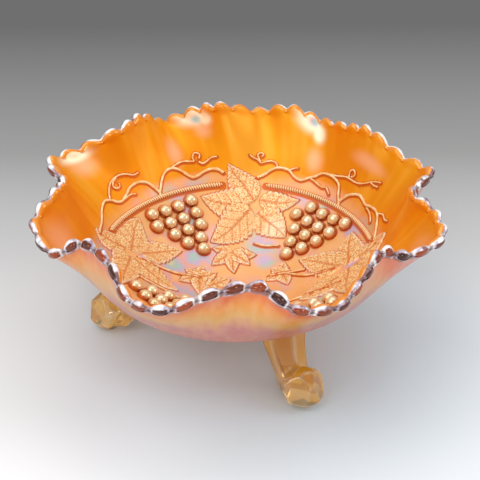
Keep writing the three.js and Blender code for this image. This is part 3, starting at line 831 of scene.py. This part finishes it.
# Each flat is a depth ground off the ball, a tilt and a swing, in degrees.
broad, outer, narrow, shoulder = 2.8 * mm, 1.6 * mm, 0.6 * mm, 1.1 * mm
ball_flats = [
    (broad, 20, 46), (broad, 20, -46), (outer, 4, 0), (shoulder, 48, 134), (shoulder, 48, 226),
    (shoulder, 52, 0), (shoulder, 48, 180), (narrow, 0, 90),
]


# The size of a body in given directions when planes cut it, with softly worn edges.
def cut_by_flats(directions, start, flats):
    sizes = np.full(len(directions), start)
    grazing, out_of_reach = 1e-4, 10 * start
    for normal, distance in flats:
        facing = directions @ normal
        reach = np.where(facing > grazing, distance / np.maximum(facing, grazing), out_of_reach)
        lean = np.clip(0.5 + 0.5 * (reach - sizes) / flat_blend, 0, 1)
        sizes = reach * (1 - lean) + sizes * lean - flat_blend * lean * (1 - lean)
    return sizes


# The first flat is the one that the ball stands on. The others come in pairs, across the ball.
flats = [(np.array([0, 0, -1.0]), ball_height)]
for depth, tilt, swing in ball_flats:
    tilt, swing = math.radians(tilt), math.radians(swing)
    normal = np.array([math.cos(tilt) * math.cos(swing), math.cos(tilt) * math.sin(swing),
                       math.sin(tilt)])
    flats += [(normal, ball_radius - depth), (-normal, ball_radius - depth)]
directions, foot_ball_faces = sphere_mesh(around=144, along=96)
foot_ball = directions * cut_by_flats(directions, ball_radius, flats)[:, None]
foot_ball += (foot_circle_radius, 0, ball_height)


# The distance from the bowl's axis at which the leg's middle line runs, down from the dish.
def leg_centre(share):
    return leg_top_radius + (ankle_radius - leg_top_radius) * share ** sweep_power


# The angle from the nearest corner of the leg's six.
def off_corner(angle):
    return (angle + sixth / 2) % sixth - sixth / 2


def under_dish(x, y):
    return (floor_height - floor_thickness
            + (ring_height - floor_height) * (x ** 2 + y ** 2) / ring_radius ** 2)


leg_shares = np.linspace(0, 1, leg_steps)
leg_angles = np.arange(leg_sides) / leg_sides * math.tau
hexagon = math.cos(sixth / 2) / np.cos(sixth / 2 - np.abs(off_corner(leg_angles)))
rounded = np.minimum(hexagon, corner_cut) * corner_scale
join_height = under_dish(leg_top_radius, 0)
leg_rings = []
for share in leg_shares:
    height = join_height + (ankle_height - join_height) * share
    size = (leg_top_size
            + (ankle_size - leg_top_size) * (1 - (1 - share) ** narrowing_power))
    leg_rings.append(np.stack([leg_centre(share) + size / 2 * rounded * np.cos(leg_angles),
                               size / 2 * rounded * np.sin(leg_angles),
                               np.full(leg_sides, height)], axis=-1))
leg_rings = np.array(leg_rings)
# The leg's top follows the dish, and that bend runs out towards the ankle.
top_bend = under_dish(leg_rings[0, :, 0], leg_rings[0, :, 1]) + leg_overrun - join_height
leg_rings[..., 2] += top_bend * (1 - leg_shares[:, None]) ** 3
leg_ends = np.array([[leg_top_radius, 0, join_height + leg_overrun],
                     [ankle_radius, 0, ankle_height]])
leg_points = np.concatenate([leg_rings.reshape(-1, 3), leg_ends])
leg_faces = ring_faces(leg_steps, leg_sides)


def foot_glass(nodes):
    height = nodes.node("ShaderNodeSeparateXYZ", None, [nodes.place()], "Z")
    tone = height.node("ShaderNodeMapRange", None,
                       {"Value": height, "From Min": 12 * mm, "From Max": 34 * mm})
    swirl = nodes.noise(60, 3.0)
    base = tone.ramp((0.0, colour(255, 206, 120)), (0.25, colour(255, 194, 80)),
                     (0.42, colour(255, 186, 10)), (0.8, colour(255, 178, 0)))
    # Painted shade: each of the leg's panels is painted its own depth of amber.
    base = (nodes.painted("panel") * 0.85).mix(base, colour(212, 132, 0))
    # Painted highlights, near white, along the leg's corners and the edges of the ball's flats.
    base = (nodes.painted("ridge") * 0.6).mix(base, colour(255, 246, 222))
    return {
        "Base Color": base,
        "Roughness": 0.03, "Transmission Weight": 0.72, "IOR": 1.46, "Coat Weight": 0.5,
        "Coat Roughness": 0.03,
        "Normal": nodes.bump(swirl, 0.4 * mm, 0.25),
    }


# The leg and its ball in one mesh, as the mould makes them, for a foot that points along x.
leg = mesh_piece("leg", leg_points, leg_faces)
ball = mesh_piece("ball", foot_ball, foot_ball_faces)
join = leg.modifiers.new("join", "BOOLEAN")
join.operation, join.object, join.solver = "UNION", ball, "EXACT"
bpy.context.view_layer.update()
foot_shape = bpy.data.meshes.new_from_object(
    leg.evaluated_get(bpy.context.evaluated_depsgraph_get()))
bpy.data.objects.remove(leg)
bpy.data.objects.remove(ball)
foot_shape.materials.clear()
foot_shape.materials.append(material_from(foot_glass))
foot_places = np.empty(3 * len(foot_shape.vertices))
foot_shape.vertices.foreach_get("co", foot_places)
foot_places = foot_places.reshape(-1, 3)

# Painted highlights along the edges: between two panels of the leg, and between two flats of the
# ball.
crease, ridge_angle, arris_width = math.radians(9), 0.09, 0.33 * mm
leg_blend = (ball_radius + 0.2 * mm, ball_radius + 1.0 * mm)
least_facing = 0.05
from_ball = foot_places - (foot_circle_radius, 0, ball_height)
ball_distance = np.linalg.norm(from_ball, axis=1)
reaches = [np.full(len(foot_places), ball_radius)]
for normal, distance in flats:
    facing = from_ball @ normal / ball_distance
    reaches.append(distance / np.maximum(facing, least_facing))
nearest = np.sort(reaches, axis=0)
arris = np.exp(-(((nearest[1] - nearest[0]) / arris_width) ** 2))
on_leg = smooth(*leg_blend, ball_distance)
down = np.clip((join_height - foot_places[:, 2]) / (join_height - ankle_height), 0, 1)
around = np.arctan2(foot_places[:, 1], foot_places[:, 0] - leg_centre(down))
leg_ridge = np.exp(-((off_corner(around) / ridge_angle) ** 2))
edge_highlights = on_leg * leg_ridge + (1 - on_leg) * arris
# Painted shade: how dark the amber is painted in each of the leg's six panels, round from the one
# that faces outwards.
panel_shades = np.array([0, 0.6, 0.2, 0.8, 0.4, 1.0])
panel_shading = on_leg * panel_shades[np.floor(around / sixth).astype(int) % 6]

for name, degrees in foot_angles.items():
    foot = bpy.data.objects.new(name + "_glass", foot_shape.copy())
    bpy.context.scene.collection.objects.link(foot)
    cos, sin = math.cos(math.radians(degrees)), math.sin(math.radians(degrees))
    x, y, z = foot_places.T
    turned = np.stack([x * cos - y * sin + axis_x, x * sin + y * cos + axis_y, z], axis=-1)
    foot.data.vertices.foreach_set("co", turned.ravel())
    foot.data.update()
    foot.data.set_sharp_from_angle(angle=crease)
    paint(foot, "ridge", edge_highlights)
    paint(foot, "panel", panel_shading)
    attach(foot, "root")
    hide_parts(name)

# The table under the bowl: one plain pale sheet of paper, with painted shade that darkens it away
# from the viewer.
# Round the bowl it is a little bluer, which evens out the orange light off the glass.
floor_size = 4.0
near_edge, far_edge = -0.14, 0.56
blue_middle, blue_full, blue_end = (0.03, -0.03, 0), 0.04, 0.18
floor = mesh_piece("table", [(-floor_size, -floor_size, 0), (floor_size, -floor_size, 0),
                             (floor_size, floor_size, 0), (-floor_size, floor_size, 0)],
                   [(0, 1, 2, 3)])
paper = bpy.data.materials.new("pale_paper")
paper.use_nodes = True
paper.node_tree.nodes.clear()
sheet = Wire(paper.node_tree)
depth = sheet.node("ShaderNodeSeparateXYZ", None, [sheet.place()], "Y")
depth = sheet.node("ShaderNodeMapRange", None,
                   {"Value": depth, "From Min": near_edge, "From Max": far_edge})
tone = depth.ramp((0.0, colour(244, 246, 248)), (0.23, colour(216, 217, 218)),
                  (0.5, colour(150, 150, 150)), (0.86, colour(97, 97, 97)))
away = sheet.node("ShaderNodeVectorMath", {"operation": "DISTANCE"},
                  [sheet.place(), blue_middle], "Value")
tone = away.between(blue_end, blue_full).mix(tone, colour(208, 224, 233))
shader = sheet.node("ShaderNodeBsdfPrincipled", None, {"Base Color": tone, "Roughness": 0.7})
sheet.node("ShaderNodeOutputMaterial", None, {"Surface": shader})
floor.data.materials.append(paper)

# The light of the room, plain and pale from all sides, and five lamps: a large soft one above on
# the left, a broad one overhead and a little behind, one at the right, and two small ones low in
# front, of which one stands to the left.
world = bpy.data.worlds.new("studio")
world.use_nodes = True
bpy.context.scene.world = world
backdrop = world.node_tree
backdrop.nodes["Background"].inputs["Color"].default_value = (0.92, 0.92, 0.92, 1)
backdrop.nodes["Background"].inputs["Strength"].default_value = 0.72

lamp_aim = 0.05
lamps = [
    ("main", (-0.5, -0.35, 1.05), (0.9, 0.9), 5.2),
    ("overhead", (0.1, 0.35, 1.1), (1.0, 0.5), 2.0),
    ("right_side", (0.95, -0.1, 0.55), (0.4, 0.6), 2.0),
    ("front", (0.25, -1.1, 0.35), (0.3, 0.12), 1.9),
    ("low_left", (-0.62, -0.9, 0.12), (0.3, 0.16), 0.9),
]
for name, place, (width, height), power in lamps:
    light = bpy.data.lights.new(name, "AREA")
    light.shape, light.size, light.size_y, light.energy = "RECTANGLE", width, height, power
    lamp = bpy.data.objects.new(name, light)
    lamp.location = place
    aim = -lamp.location
    aim.z += lamp_aim
    lamp.rotation_euler = aim.to_track_quat("-Z", "Y").to_euler()
    bpy.context.scene.collection.objects.link(lamp)

# The camera stands about where the photograph was taken from, and looks down at 32 degrees. Its
# lens, place and turn are the result of a fit to the photograph.
camera_data = bpy.data.cameras.new("camera")
camera_data.lens, camera_data.sensor_width = 83.28, 36
camera = bpy.data.objects.new("camera", camera_data)
camera_x, camera_y, camera_height = 1.329 * mm, -508.211 * mm, 377.658 * mm
pitch, roll, yaw = 57.8366, 0.2299, -0.1446
camera.location = (camera_x + axis_x, camera_y + axis_y, camera_height)
camera.rotation_euler = (math.radians(pitch), math.radians(roll), math.radians(yaw))
bpy.context.scene.collection.objects.link(camera)
bpy.context.scene.camera = camera
bpy.context.scene.view_settings.view_transform = "Standard"

bpy.context.view_layer.update()
